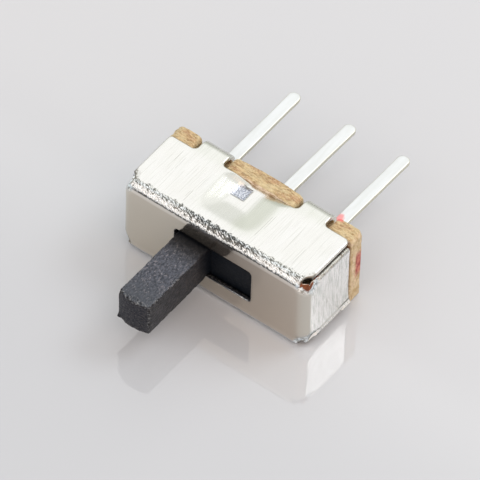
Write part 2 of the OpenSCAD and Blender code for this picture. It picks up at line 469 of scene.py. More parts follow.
def case_lift(flat, depth):
    """How far the sheet stands out of its flat shape; the fine texture is on the outer surface only."""
    u, v = flat[:, 0], flat[:, 1]
    on_side, on_end = walls(flat)
    lift = -DENT_DEPTH * np.where(on_side, dent_share(flat), 0)
    lift -= PUNCH_DEPTH * np.where(on_side, smooth((0.06 - punch_edge(flat)) / 0.14), 0)
    height = END_TOP + v
    flare = 0.04 * hinged(0.9 - height, 0.1) + 0.06 * hinged(0.3 - height, 0.05)
    lift += np.where(on_end & (u > 0) & (v < 0), flare * smooth((u - FLAT_X) / 0.6), 0)
    lift += 0.005 * grain(flat, (0.6, 0.6), 3.0, 2)
    return lift + (1 - depth / SHEET) * case_texture(flat, depth)


def place_case(flat, depth, on_rim):
    """Folds the flat sheet into the case."""
    u, v = flat[:, 0], flat[:, 1]
    on_side, on_end = walls(flat)
    sunk = depth - case_lift(flat, depth)
    side_out, side_deep = fold(np.abs(v), FLAT_Z, LONG_FOLD, sunk)
    side_deep, side_out = fold_tab(side_deep, side_out, sunk)
    end_out, end_deep = fold(np.abs(u), FLAT_X, END_FOLD, sunk)
    x = np.where(on_end, np.sign(u) * end_out, u)
    forward = np.clip((end_flat(END_BACK) - np.abs(u)) / 2, 0, 1)
    raised = smooth((v - END_TOP + 0.5) / 0.4) * (0.08 + 0.04 * forward) * smooth((np.abs(u) - FLAT_X) / 0.3)
    z = np.maximum(np.where(on_side, np.sign(v) * side_out, v + raised), -HALF_HEIGHT)
    bowed = board_bow(u) * smooth((side_back(v) - PLATE_FRONT + 0.5) / 0.4)
    y = np.where(on_side, side_deep + bowed, np.where(on_end, end_deep, sunk))
    return into_relief(np.stack([x, y, z], 1), depth / SHEET)


def relief_outline():
    """The hole's edge at a corner of the flat sheet, from the long side's end round to the end wall's top."""
    def surface(u, v, side):
        if side:
            out, back = fold(v, FLAT_Z, LONG_FOLD, 0)
            return np.array([u, back, out])
        out, back = fold(u, FLAT_X, END_FOLD, 0)
        return np.array([out, back, v])

    side_ends, end_ends, tiny = 213, 330, 1e-6
    points = []
    for side, a0, a1 in ((True, 100, side_ends), (False, side_ends, end_ends)):
        for angle in np.radians(np.arange(a0, a1, 4)):
            step = np.array([math.cos(angle), math.sin(angle)])
            near, far = 0.2, 1.2
            for _ in range(24):
                r = (near + far) / 2
                u, v = HOLE + step * r
                gap = np.linalg.norm(surface(u, v, side and v > FLAT_Z) - RELIEF_PLACE)
                near, far = (r, far) if gap < RELIEF_RADIUS else (near, r)
            u, v = HOLE + step * near
            kept = u <= SIDE_END + tiny if v > HALF_HEIGHT else v <= END_TOP + tiny or u < SIDE_END
            if kept:
                points.append((u, v))
    return np.array(points)


def case_outline():
    """One quarter of the flat sheet's outline, from the end wall's back round to the long side's back."""
    relief = relief_outline()[::-1]
    wall_x, side_x = relief[0][0], SIDE_END
    end_back, side_line = end_flat(END_BACK), side_flat(PLATE_FRONT)
    tab_back = side_flat(PLATE_BACK + SHEET - TAB_FOLD) + TAB_FOLD * QUARTER + TAB_LAP
    inner, outer = TAB_PLACE - TAB_WIDTH / 2, TAB_PLACE + TAB_WIDTH / 2
    end_wall = rounded_outline([(end_back, 0), (end_back, END_TOP), (wall_x, END_TOP)],
                               [0, END_CORNER, 0])[1:-1]
    side = rounded_outline([
        (side_x, relief[-1][1]), (side_x, side_line), (outer, side_line), (outer, tab_back),
        (inner, tab_back), (inner, side_line), (0, side_line)
    ], [0, SIDE_CORNER, TAB_FILLET, TAB_CORNER, TAB_CORNER, TAB_FILLET, 0])[1:-1]
    return np.concatenate([end_wall, [(wall_x + 0.02, END_TOP)], relief, side])


def case_grid():
    """Grid points over the flat sheet, closer together in the folds and round the punch marks."""
    end, back = end_flat(END_BACK), side_flat(PLATE_BACK + SHEET) + 1
    bend_end = FLAT_Z + LONG_BEND
    punch_x, far = PUNCH_PLACE[0], 9
    coarse, fine = lattice(-end, end, -back, back, 0.1, 0.09), []

    def span(side, low, high):
        return sorted((side * low, side * high))

    for side in (-1, 1):
        centre = side * side_flat(PUNCH_PLACE[1])
        for box in ((-far, far, *span(side, FLAT_Z - 0.03, bend_end + 0.21)),
                    (*span(side, FLAT_X - 0.03, end_flat(END_FOLD) + 0.04), -FLAT_Z, FLAT_Z),
                    (punch_x - 0.48, punch_x + 0.48, centre - 0.45, centre + 0.45)):
            coarse = outside_box(coarse, *box)
        fine += [lattice(-SIDE_END, SIDE_END, *span(side, FLAT_Z, bend_end + 0.18), 0.044, 0.03),
                 lattice(*span(side, FLAT_X, end_flat(END_FOLD)), -FLAT_Z + 0.03, FLAT_Z - 0.03, 0.034, 0.1),
                 lattice(punch_x - 0.44, punch_x + 0.44, centre - 0.41, centre + 0.41, 0.024, 0.024)]
    return np.concatenate([coarse] + fine)


def case_marks(flat, depth, on_rim):
    """Where each finish of the case lies, and where light and shade are painted on it, for its material."""
    u, v = flat[:, 0], flat[:, 1]
    off_side, past_front = np.abs(v) < FLAT_Z, np.abs(v) > FLAT_Z
    inner = (depth > SHEET - 1e-6) & (on_rim < 0.5)
    dent = dent_away(flat)
    hole, relief = np.hypot(u - HOLE[0], v - HOLE[1]), near_relief(flat)
    on_wall = np.abs(u) > FLAT_X + 0.3
    wall_edge = np.where(off_side, smooth((np.abs(v) - END_TOP + 0.08) / 0.05) * on_wall, 0)
    return {
        "flat": np.column_stack([flat, depth]),
        "rim": on_rim * (depth > 0.03),
        "inner": inner.astype(float),
        "lip": np.clip(relief + wall_edge, 0, 1) * (1 - inner),
        "punched": np.where(past_front & ~inner, np.clip(0.5 - punch_edge(flat) / 0.4, 0, 1), 0),
        "ends": np.where(off_side, smooth((np.abs(u) - FLAT_X - 0.58) / 0.08), 0),
        "sides": smooth((np.abs(v) - FLAT_Z) / 0.12),
        "brown_hole_edge": on_rim * (depth > 0.05) * smooth((0.8 - hole) / 0.08) * smooth((HALF_HEIGHT + 0.1 - v) / 0.2),
        "at_hole": relief * (np.abs(v) > FLAT_Z + 0.2) * on_rim,
        "burr": relief * (np.abs(v) < FLAT_Z + 0.2) * np.where(v > 0, 1 - inner, u > 0),
        "curl": curled(flat),
        "low_edge": np.where(off_side & (v < 0) & (np.abs(u) > FLAT_X), END_TOP + v, 1),
        "dented": np.where(past_front, smooth((1.15 - dent) / 0.5) * smooth(dent / 0.35), 0),
        "wall_top": smooth((v - END_TOP + 0.10) / 0.05) * (v < FLAT_Z) * on_wall,
        "slot_rim": on_rim * (np.abs(u) < SLOT_HALF[0] + 0.1) * (np.abs(v) < SLOT_HALF[1] + 0.1),
    }


def build_case():
    quarter = case_outline()
    back = quarter[::-1]
    outline = np.concatenate([quarter, back * (-1, 1), quarter * (-1, -1), back * (1, -1)])
    outline = outline[np.linalg.norm(outline - np.roll(outline, 1, 0), axis=1) > 0.004]
    sx, sz = SLOT_HALF
    slot = rounded_outline([(sx, SLOT_TOP), (sx, -sz), (-sx, -sz), (-sx, SLOT_TOP)], SLOT_CORNER)
    points, faces, *spots = plate_mesh([outline, slot], case_grid(), place_case, SHEET, SHEET_ROUNDING, 0.055,
                                       rim_steps=2, arc_steps=3)
    return new_object("case_sheet", points, faces, case_marks(*spots))


# ---------------------------------------------------------------- the base plate
def board_outline():
    """The base plate from behind its front face: four notches for the tabs, and corners worn unevenly."""
    notch_half = TAB_WIDTH / 2 + 0.15
    low, high = HALF_HEIGHT - TAB_FOLD, HALF_HEIGHT
    inner, outer = TAB_PLACE - notch_half, TAB_PLACE + notch_half
    half = [(HALF_LENGTH, high), (outer, high), (outer, low), (inner, low), (inner, high)]
    top = half + [(-x, z) for x, z in half[::-1]]
    land, floor = 0.24, 0.03
    notches = [land, floor, floor, land] * 2
    top_right, top_left, low_left, low_right = 0.28, 0.45, 0.28, 0.16
    radii = [top_right, *notches, top_left, low_left, *notches, low_right]
    return rounded_outline(top + [(-x, -z) for x, z in top], radii)


def build_plate():
    thickness = PLATE_BACK - PLATE_FRONT
    slack = 0.015
    pin_hole = np.array([(1, 1), (1, -1), (-1, -1), (-1, 1)]) * (PIN_HALF + slack, PIN_THICK / 2 + slack)
    holes = [pin_hole + (n * PIN_PITCH, 0) for n in (-1, 0, 1)]

    def outward(x, z):
        """Rough direction out of the plate at each rim point, towards its nearest outline edge."""
        near_end = np.clip(1 - (HALF_LENGTH - np.abs(x)) / 0.28, 0, 1)
        near_side = np.clip(1 - (HALF_HEIGHT - np.abs(z)) / 0.28, 0, 1)
        length = np.maximum(np.hypot(near_end, near_side), 1e-6)
        return np.sign(x) * near_end / length, np.sign(z) * near_side / length

    def place(flat, depth, on_rim):
        x, z = flat.T
        deep = np.column_stack([flat, depth])
        rough = grain(deep, (2.2, 2.2, 9.0), 11.0, 4)
        pits = np.minimum(grain(deep, (5.0, 5.0, 16.0), 5.0, 3), 0)
        shift = on_rim * (np.abs(z) > 0.6) * (0.028 * rough + 0.05 * pits)
        swell = 0.008 * grain(deep, (6.0, 6.0, 3.0), 21.0, 3) * (1 - on_rim)
        facing = np.where(depth < thickness / 2, -1, 1)
        y = PLATE_FRONT + depth + facing * np.minimum(swell, 0.004) + board_bow(x)
        out_x, out_z = outward(x, z)
        return np.stack([np.clip(x + out_x * shift, -HALF_LENGTH, HALF_LENGTH), y,
                         np.clip(z + out_z * shift, -HALF_HEIGHT, HALF_HEIGHT)], 1)

    grid = lattice(-HALF_LENGTH, HALF_LENGTH, -HALF_HEIGHT, HALF_HEIGHT, 0.12, 0.12)
    points, faces, _, depth, on_rim = plate_mesh([board_outline()] + holes, grid, place, thickness, 0.06,
                                                 0.045, rim_steps=12, arc_steps=3)
    return new_object("base_plate_board", points, faces, {
        "rim": on_rim, "inner": (1 - on_rim) * (depth < thickness / 2)})


# ---------------------------------------------------------------- the terminals
def build_terminal(name, middle_x, bend, seed):
    """One flat strip; bend is how far its free end leans along X."""
    shoulder_front, shoulder_back = PLATE_FRONT - SHOULDER_DEEP, PLATE_FRONT - 0.004
    right = [(BLADE_HALF, BLADE_FRONT), (BLADE_HALF, shoulder_front), (SHOULDER_HALF, shoulder_front),
             (SHOULDER_HALF, shoulder_back), (PIN_HALF, shoulder_back), (PIN_HALF, PIN_END)]
    radii = [0.15, 0.05, 0.05, 0.05, 0.05, 0.22]
    outline = rounded_outline(right + [(-x, y) for x, y in right[::-1]], radii + radii[::-1])

    def place(flat, depth, on_rim):
        x, y = flat[:, 0] + middle_x, flat[:, 1]
        deep = np.column_stack([flat, depth])
        wave = 0.006 * grain(deep, (1.5, 0.8, 1.0), seed, 2) * smooth(y - PLATE_BACK)
        lean = bend * smooth((y - PLATE_BACK) / (PIN_END - PLATE_BACK) / 1.6) * 1.2
        return np.stack([x + lean + wave, y, PIN_THICK / 2 - depth + 0.5 * wave], 1)

    grid = lattice(-SHOULDER_HALF, SHOULDER_HALF, BLADE_FRONT, PIN_END, 0.11, 0.11)
    points, faces, _, _, on_rim = plate_mesh([outline], grid, place, PIN_THICK, 0.03, 0.07, arc_steps=3)
    return new_object(name, points, faces, {"rim": on_rim})


# ---------------------------------------------------------------- the slider
def place_knob(flat, depth, on_rim):
    """Roughens the knob's block, chips its edges, and lets it spread towards its underside."""
    x, y = flat[:, 0], flat[:, 1]
    deep = np.column_stack([flat, depth])
    out = smooth(-y / 0.3)
    rough, waves = grain(deep, (9.0, 9.0, 9.0), 2.0, 3), grain(deep, (1.1, 0.8, 1.1), 9.0, 2)
    shift = out * (0.006 * rough + 0.012 * waves)
    z = KNOB_HALF_HEIGHT - depth
    top = np.where(on_rim < 0.5, np.sign(z), 0)
    side = np.where((on_rim > 0.5) & (np.abs(x) > KNOB_HALF_WIDTH - 0.06), np.sign(x), 0)
    front = np.where((on_rim > 0.5) & (y < KNOB_TIP + 0.2), -1, 0)
    rounding = on_rim * (np.minimum(depth, 2 * KNOB_HALF_HEIGHT - depth) < 0.08)
    nick = 0.06 * np.abs(np.minimum(grain(deep, (6.0, 5.0, 6.0), 30.0, 3) + 0.1, 0)) * rounding * out
    z = np.where(z < 0, z * (1 + 0.14 * out), z)
    x = np.where(x < 0, x * (1 - 0.035 * out), x)
    x = x + side * shift - np.sign(x) * nick
    z = z + top * shift - np.sign(z) * nick
    left = (x + KNOB_HALF_WIDTH) ** 2
    burr = np.exp(-(left + (z + KNOB_HALF_HEIGHT) ** 2) / 0.012) * smooth((KNOB_TIP + 0.3 - y) / 0.2)
    lost = np.exp(-(left + (z - KNOB_HALF_HEIGHT) ** 2) / 0.03) * smooth((KNOB_TIP + 0.25 - y) / 0.15)
    return np.stack([x + KNOB_X - 0.03 * burr, y + front * shift - 0.08 * burr + 0.13 * lost, z], 1)


def place_flange(flat, depth, on_rim):
    return np.column_stack([flat, FLANGE_TOP - depth])


def build_slider():
    half = KNOB_HALF_WIDTH
    centre = KNOB_TIP + KNOB_CROWN
    arc = [(x, centre - math.sqrt(KNOB_CROWN ** 2 - x ** 2)) for x in np.linspace(-half, half, 25)]
    outline = np.array(arc + [(half, KNOB_ROOT), (-half, KNOB_ROOT)])
    grid = lattice(-half, half, KNOB_TIP, KNOB_ROOT, 0.06, 0.06)
    points, faces, *_ = plate_mesh([outline], grid, place_knob, 2 * KNOB_HALF_HEIGHT, 0.035, 0.06,
                                   rim_steps=22)
    knob = new_object("slider_body", points, faces)
    plan = rounded_outline([(FLANGE_LEFT, FLANGE_FRONT), (FLANGE_RIGHT, FLANGE_FRONT),
                            (FLANGE_RIGHT, FLANGE_BACK), (FLANGE_LEFT, FLANGE_BACK)],
                           [0.28, 0.28, 0.05, 0.05])
    grid = lattice(FLANGE_LEFT, FLANGE_RIGHT, FLANGE_FRONT, FLANGE_BACK, 0.4, 0.4)
    points, faces, *_ = plate_mesh([plan], grid, place_flange, 2 * FLANGE_TOP, 0.03, 0.3)
    body = new_object("flange", points, faces)
    past_back = 3.0
    boolean(body, slider_block("housing", HOUSING_HALF, FLANGE_BACK - 0.1, HOUSING_BACK), "UNION")
    boolean(body, slider_block("cavity", CAVITY_HALF, CAVITY_FRONT, past_back), "DIFFERENCE")
    boolean(body, slider_block("channel", CHANNEL_HALF, CHANNEL_FRONT, past_back), "DIFFERENCE")
    boolean(knob, body, "UNION")
    mark_slider(knob)
    return knob


def mark_slider(slider):
    """Marks what is outside the case, what is on top, and where the edges are worn, for the material."""
    vertices = slider.data.vertices
    x, y, z = (np.array([v.co for v in vertices]) / MM - (KNOB_X, FRONT_Y, MIDDLE)).T
    facing_up = np.array([v.normal.z for v in vertices]) > 0.7
    edges = ((np.abs(np.abs(x) - KNOB_HALF_WIDTH) < 0.07).astype(int)
             + (np.abs(np.abs(z) - KNOB_HALF_HEIGHT) < 0.07) + (np.abs(y - KNOB_TIP - 0.07) < 0.14))
    upper = 0.2 + 0.8 * smooth((z + 0.68) / 0.15)
    add_attribute(slider.data, "wear", (y < 0.1) * (edges > 1) * smooth((-y - 0.3) / 2.0) * upper)
    add_attribute(slider.data, "outside", smooth((0.1 - y) / 0.9))
    # The top's mark fades out towards the case, which leaves painted shade at the knob's root.
    add_attribute(slider.data, "on_top", facing_up * smooth(-y - 0.35))


# ---------------------------------------------------------------- finishes and painted light
class Nodes:
    """Short ways to build the nodes of a material or of the world."""

    def __init__(self, name, owners=bpy.data.materials):
        self.owner = owners.new(name)
        self.owner.use_nodes = True
        self.tree = self.owner.node_tree
        self.tree.nodes.clear()

    def add(self, kind, settings, *values, **named):
        """The outputs of a new node, given what goes into its inputs, in their order or by name."""
        node = self.tree.nodes.new("ShaderNode" + kind)
        for key, value in settings.items():
            setattr(node, key, value)
        for key, value in (*enumerate(values), *named.items()):
            socket = node.inputs[key if isinstance(key, int) else key.replace("_", " ")]
            if isinstance(value, bpy.types.NodeSocket):
                self.tree.links.new(value, socket)
            else:
                socket.default_value = value
        return node.outputs

    def attribute(self, name, output="Fac"):
        return self.add("Attribute", {"attribute_name": name})[output]

    def place(self):
        """Places in millimetres, in the part's own frame."""
        metres = self.add("TexCoord", {})["Object"]
        return self.add("VectorMath", {"operation": "SCALE"}, metres, Scale=1 / MM)[0]

    def turned(self, vector, degrees):
        """The vector turned about Z."""
        return self.add("VectorRotate", {"rotation_type": "Z_AXIS"}, vector, Angle=math.radians(degrees))[0]

    def axes(self, vector):
        return self.add("SeparateXYZ", {}, vector)

    def noise(self, vector, stretch, detail=3, roughness=0.55, shift=0, distortion=0):
        stretched = self.add("Mapping", {}, vector, Scale=stretch, Location=(shift, shift, shift))[0]
        return self.add("TexNoise", {}, Vector=stretched, Scale=1, Detail=detail, Roughness=roughness,
                        Distortion=distortion)["Fac"]

    def spread(self, value, low, high, out_low=0, out_high=1):
        """The value mapped smoothly from one range to another, and kept inside it."""
        smoothly = {"interpolation_type": "SMOOTHSTEP"}
        return self.add("MapRange", smoothly, value, low, high, out_low, out_high)[0]

    def window(self, value, rise, fall):
        """One between the rise and the fall, which are pairs of values, and nothing outside them."""
        return self.times(self.spread(value, *rise), self.spread(value, *fall))

    def maths(self, operation, a, b):
        return self.add("Math", {"operation": operation}, a, b)[0]

    def times(self, first, *others):
        for other in others:
            first = self.maths("MULTIPLY", first, other)
        return first

    def away(self, value, centre=0):
        """How far a value is from the centre."""
        return self.maths("ABSOLUTE", self.maths("SUBTRACT", value, centre), 0)

    def swing(self, value, size):
        """A noise value as a swing about zero."""
        return self.times(self.maths("SUBTRACT", value, 0.5), size)

    def blend(self, factor, a, b):
        return self.add("Mix", {}, Factor=factor, A=a, B=b)["Result"]

    def mix(self, factor, a, b):
        """Two colours blended."""
        a, b = (c if isinstance(c, bpy.types.NodeSocket) else (*c, 1) for c in (a, b))
        return self.add("Mix", {"data_type": "RGBA"}, Factor=factor, A=a, B=b)["Result"]

    def coats(self, base, *coats):
        """The base under coats, each given as a colour and the shares whose product it covers."""
        for colour, *shares in coats:
            base = self.mix(self.times(*shares), base, colour)
        return base

    def bump(self, height, distance, strength=1, **below):
        """A normal from a height; the Normal below it may be given."""
        return self.add("Bump", {}, Height=height, Distance=distance * MM, Strength=strength, **below)[0]

    def finish(self, color, roughness, metallic, **more):
        """The material, with its surface made of these."""
        surface = self.add("BsdfPrincipled", {}, Base_Color=color, Roughness=roughness, Metallic=metallic,
                           **more)
        self.add("OutputMaterial", {}, Surface=surface[0])
        return self.owner


def scratches(m, across, along):
    """One inside each thin scratch of the case."""
    total = 0
    for place, front, back, half_width in SCRATCHES:
        start, end = side_flat(front), side_flat(back)
        length = m.window(along, (start - 0.05, start + 0.1), (end + 0.05, end - 0.1))
        line = m.times(m.spread(m.away(across, place), half_width, 0), length)
        total = m.maths("MAXIMUM", total, line)
    return total


def painted_fold_light(m, nickel, flat, across, along):
    """Painted light over a long fold: a painted sheen, painted dark reflections as hatching above, painted
    shade in the creases below, a painted dark line under them, and a painted light strip below.
    """
    turned = m.maths("DIVIDE", m.maths("SUBTRACT", m.away(along), FLAT_Z), LONG_BEND)
    middle = m.spread(m.away(across, 0.15), 2.3, 0.7)
    denser = m.times(middle, 0.08)
    start = m.maths("SUBTRACT", turned, m.swing(m.noise(flat, (6, 3, 1), 2, 0.6, 21), 0.9))
    upper = m.window(m.maths("ADD", start, denser), (0.50, 0.62), (1.26, 1.12))
    hatch = m.noise(m.turned(flat, 30), (6.5, 19, 1), 2, 0.6, 0, 0.3)
    shade = m.mix(middle, (0.15, 0.148, 0.13), (0.02, 0.02, 0.018))
    ridge = m.away(m.noise(m.turned(flat, 40), (5, 14, 1), 1, 0.5, 7), 0.5)
    lower = m.window(turned, (0.12, 0.22), (0.78, 0.66))
    line = m.spread(m.away(m.maths("ADD", turned, m.swing(hatch, 0.5)), 0.17), 0.11, 0.05)
    broken = m.spread(m.noise(flat, (1.2, 3, 1), 3, 0.6, 3), 0.34, 0.46)
    above = m.spread(along, -1, 1, 0.15, 0.92)
    nickel = m.coats(
        nickel, ((0.88, 0.915, 0.94), m.window(turned, (0.05, 0.15), (1.15, 0.95)), 0.9),
        (shade, upper, m.spread(m.maths("ADD", hatch, denser), 0.49, 0.555), 0.92),
        ((0.16, 0.155, 0.13), lower, m.spread(ridge, 0.03, 0.005), 0.55),
        ((0.05, 0.048, 0.04), line, broken, above),
        ((0.92, 0.88, 0.82), m.window(turned, (-0.34, -0.2), (0.12, 0.04)), above, 0.85))
    return nickel, m.maths("MAXIMUM", upper, lower)


def case_material():
    m = Nodes("case_plating")
    flat, place = m.attribute("flat", "Vector"), m.place()
    rim, inner, lip, brown_hole_edge, ends, sides, dented, low_edge, curl = map(m.attribute, (
        "rim", "inner", "lip", "brown_hole_edge", "ends", "sides", "dented", "low_edge", "curl"))
    across, along, _ = m.axes(flat)
    lines = m.noise(flat, (13, 0.6, 1), 4, 0.6)
    blotch = m.noise(flat, (0.8, 0.9, 1), 3, 0.5, 2)
    nickel = m.mix(m.spread(blotch, 0.35, 0.7), (0.788, 0.784, 0.760), (0.768, 0.762, 0.730))
    # Painted shade: the front face is painted darker and warmer than the other walls, and darker towards the
    # right, a painted reflection of the shaded floor in front; next to the end fold it is painted a lighter
    # grey-green.
    face = m.mix(m.spread(across, -2.5, 3), (0.662, 0.62, 0.54), (0.585, 0.528, 0.46))
    face = m.coats(face, ((0.60, 0.585, 0.53), m.spread(across, FLAT_X - 0.1, FLAT_X + 0.3)))
    front = m.maths("SUBTRACT", 1, m.maths("MAXIMUM", sides, ends))
    nickel, over_fold = painted_fold_light(m, m.coats(nickel, (face, front)), flat, across, along)
    streaks = m.spread(m.noise(flat, (10, 0.45, 1), 2, 0.5, 9), 0.6, 0.72)
    hairs = m.spread(m.noise(flat, (17, 0.7, 1), 2, 0.5, 31), 0.53, 0.66)
    brushed = m.spread(m.noise(flat, (12, 1.6, 1), 4, 0.65, 6, 0.7), 0.47, 0.62)
    cut = m.spread(m.noise(place, (7, 9, 9), 3, 0.6, 31), 0.46, 0.66)
    tab_start = side_flat(PLATE_FRONT)
    tab = m.spread(m.away(along), tab_start - 0.35, tab_start + 0.3)
    edge_lines = m.maths("MAXIMUM", m.window(low_edge, (0.25, 0.21), (0.14, 0.17)),
                         m.spread(low_edge, 0.05, 0.03))
    marks = m.spread(m.noise(flat, (15, 15, 1), 2), 0.4, 0.6)
    ragged = m.swing(m.noise(flat, (11, 11, 1), 2, 0.6, 14), 0.5)
    punched = m.spread(m.maths("ADD", m.attribute("punched"), ragged), 0.44, 0.52)
    brown_mottle = m.spread(m.noise(flat, (9, 9, 9), 2), 0.4, 0.6)
    nickel = m.coats(
        nickel, ((0.36, 0.35, 0.31), scratches(m, across, along), 0.65),
        ((0.50, 0.50, 0.45), sides, streaks, 0.28),
        ((0.50, 0.51, 0.44), sides, hairs, 0.16),
        (m.mix(brushed, (1, 1, 0.985), (0.72, 0.755, 0.725)), ends),
        ((0.86, 0.84, 0.80), rim, 0.8),
        # The slot's cut edge is painted dark: painted shade in the slot, over the grey of the sheared edge.
        (m.mix(cut, (0.12, 0.13, 0.15), (0.50, 0.50, 0.50)), m.attribute("slot_rim")),
        # Painted shade along the end wall's top edge, under the overhang of the top.
        ((0.46, 0.48, 0.46), m.attribute("wall_top"), 0.85),
        # Painted shade on the dent's slopes, stronger towards the right.
        ((0.67, 0.685, 0.61), dented, m.spread(across, 0, 0.5, 0.3, 0.9)),
        # Painted shade on the tabs where they bend down over the board.
        ((0.64, 0.66, 0.58), tab, m.spread(blotch, 0.3, 0.6, 0.5, 0.9), 0.6),
        # A painted bluish-white highlight on the burred lip round each corner hole.
        ((0.82, 0.93, 1), m.attribute("burr"), 0.8),
        # Painted shade on the cut edge inside each corner hole.
        ((0.20, 0.19, 0.17), m.attribute("at_hole"), 0.9),
        ((0.16, 0.14, 0.11), lip, m.spread(m.noise(place, (9, 9, 9), 2), 0.5, 0.6), 0.7),
        # Painted light on the end wall's rolled lower edge: a painted highlight as a bright core between two
        # dark lines of painted shade, clearest on the curls.
        ((0.14, 0.15, 0.12), edge_lines, m.blend(curl, 0.35, 0.85)),
        ((1, 1, 0.98), m.window(low_edge, (0.17, 0.14), (0.04, 0.06)), curl),
        (m.mix(marks, (0.34, 0.37, 0.44), (0.74, 0.77, 0.84)), punched),
        # The inside of the sheet is painted warm, a painted reflection of the brown board inside.
        ((0.93, 0.80, 0.68), inner),
        # The cut edge round each corner hole is reddish brown, rough and barely metallic.
        (m.mix(brown_mottle, (0.14, 0.036, 0.010), (0.24, 0.072, 0.022)), brown_hole_edge))
    rough = m.blend(ends, m.blend(sides, 0.12, 0.24), 0.24)
    for worn in ((rim, lip), (inner, punched)):
        rough = m.blend(m.maths("MAXIMUM", *worn), rough, 0.4)
    rough = m.maths("ADD", rough, m.spread(lines, 0.3, 0.7, -0.04, 0.04))
    strength = m.maths("ADD", m.blend(sides, 0.02, m.blend(dented, 0.16, 0.05)), m.times(ends, 0.84))
    normal = m.bump(lines, 0.045, strength)
    strength = m.blend(sides, 0.02, m.blend(dented, 0.10, 0.03))
    normal = m.bump(m.noise(flat, (4, 0.2, 1), 2, 0.5, 4), 0.06, strength, Normal=normal)
    normal = m.bump(m.noise(flat, (14, 16, 1), 2, 0.65), 0.028, over_fold, Normal=normal)
    return m.finish(nickel, m.blend(brown_hole_edge, rough, 0.7), m.blend(brown_hole_edge, 1, 0.15), Normal=normal)


def plate_material():
    m = Nodes("phenolic")
    place = m.place()
    x, y, z = m.axes(place)
    fibres = m.noise(place, (4, 13, 9), 4, 0.7)
    coarse = m.noise(place, (1.3, 3.4, 2.2), 3, 0.6, 5)
    pits = m.noise(place, (6, 13, 11), 3, 0.7, 12)
    threads = m.noise(place, (9, 26, 20), 2, 0.7, 8)
    edge = m.coats(
        m.mix(m.spread(fibres, 0.36, 0.6), (0.36, 0.235, 0.115), (0.66, 0.525, 0.30)),
        ((0.66, 0.58, 0.36), m.spread(coarse, 0.46, 0.62), 0.6),
        ((0.45, 0.25, 0.15), m.spread(coarse, 0.46, 0.34), 0.5),
        ((0.20, 0.095, 0.04), m.spread(pits, 0.56, 0.66), 0.6),
        ((0.78, 0.70, 0.50), m.spread(threads, 0.52, 0.62), 0.35))
    in_fibres = m.spread(fibres, 0.42, 0.58)
    top = 2 * HALF_HEIGHT
    face = m.coats(
        m.mix(m.spread(coarse, 0.3, 0.7), (0.40, 0.22, 0.09), (0.48, 0.28, 0.12)),
        (m.mix(in_fibres, (0.30, 0.14, 0.075), (0.50, 0.33, 0.17)), m.attribute("inner")),
        # Painted light: near the top, the board's face is painted a light tan where it shows below the dents,
        # against the shade it lies in.
        (m.mix(in_fibres, (0.50, 0.36, 0.22), (0.86, 0.76, 0.62)),
         m.spread(z, top - 0.4, top - 0.25, 0, 0.9)))
    at_end = m.spread(x, HALF_LENGTH - 0.1, HALF_LENGTH - 0.02)
    mottle = m.noise(place, (5, 5.5, 4.5), 3, 0.65, 29)
    back = FRONT_Y + PLATE_BACK
    stain = m.spread(m.noise(place, (5, 6, 5), 3, 0.6, 17), 0.42, 0.6)
    tan = m.coats(
        m.mix(m.attribute("rim"), face, edge),
        ((0.74, 0.61, 0.42), m.spread(x, HALF_LENGTH - 0.15, HALF_LENGTH - 0.05, 0, 0.4)),
        ((0.48, 0.34, 0.15), at_end, m.spread(mottle, 0.52, 0.62, 0, 0.55)),
        ((0.88, 0.72, 0.55), at_end, m.spread(mottle, 0.48, 0.38, 0, 0.6)),
        # A dark red stain low on the right end, and a bright pink-red spot on the top edge.
        (m.mix(stain, (0.34, 0.055, 0.05), (0.60, 0.23, 0.18)), m.spread(x, 4.1, 4.25),
         m.spread(y, back - 0.44, back - 0.28), m.window(z, (1.1, 1.7), (2.9, 2.4)),
         m.spread(coarse, 0.2, 0.5, 0.5, 1)),
        ((0.90, 0.22, 0.22), m.window(x, (3, 3.15), (3.5, 3.35)), m.spread(y, back - 0.2, back - 0.05),
         m.spread(z, 3.3, 3.5)))
    normal = m.bump(pits, 0.05, 0.6, Normal=m.bump(fibres, 0.07, 0.8))
    return m.finish(tan, m.spread(fibres, 0.3, 0.7, 0.75, 0.55), 0, Normal=normal, Specular_IOR_Level=0.35)


def terminal_material():
    m = Nodes("terminal_plating")
    place = m.place()
    x, y, _ = m.axes(place)
    streaks = m.noise(place, (9, 0.9, 9))
    beside = m.maths("SUBTRACT", x, PIN_PITCH - 0.17)
    behind = m.maths("SUBTRACT", y, FRONT_Y + PLATE_BACK + 1.2)
    away = m.maths("ADD", m.times(beside, beside), m.times(behind, behind))
    red = m.spread(m.maths("SUBTRACT", away, m.swing(streaks, 0.08)), 0.08, 0.02)
    tone = m.coats(
        m.mix(m.spread(streaks, 0.3, 0.7), (0.79, 0.815, 0.825), (0.76, 0.785, 0.785)),
        # The strips' edges are painted a darker beige grey, painted shade on their sides.
        ((0.64, 0.63, 0.53), m.attribute("rim"), 0.85),
        ((0.88, 0.30, 0.30), red, 0.85))
    return m.finish(tone, m.spread(streaks, 0.3, 0.7, 0.32, 0.42), 0.9, Normal=m.bump(streaks, 0.02, 0.25))


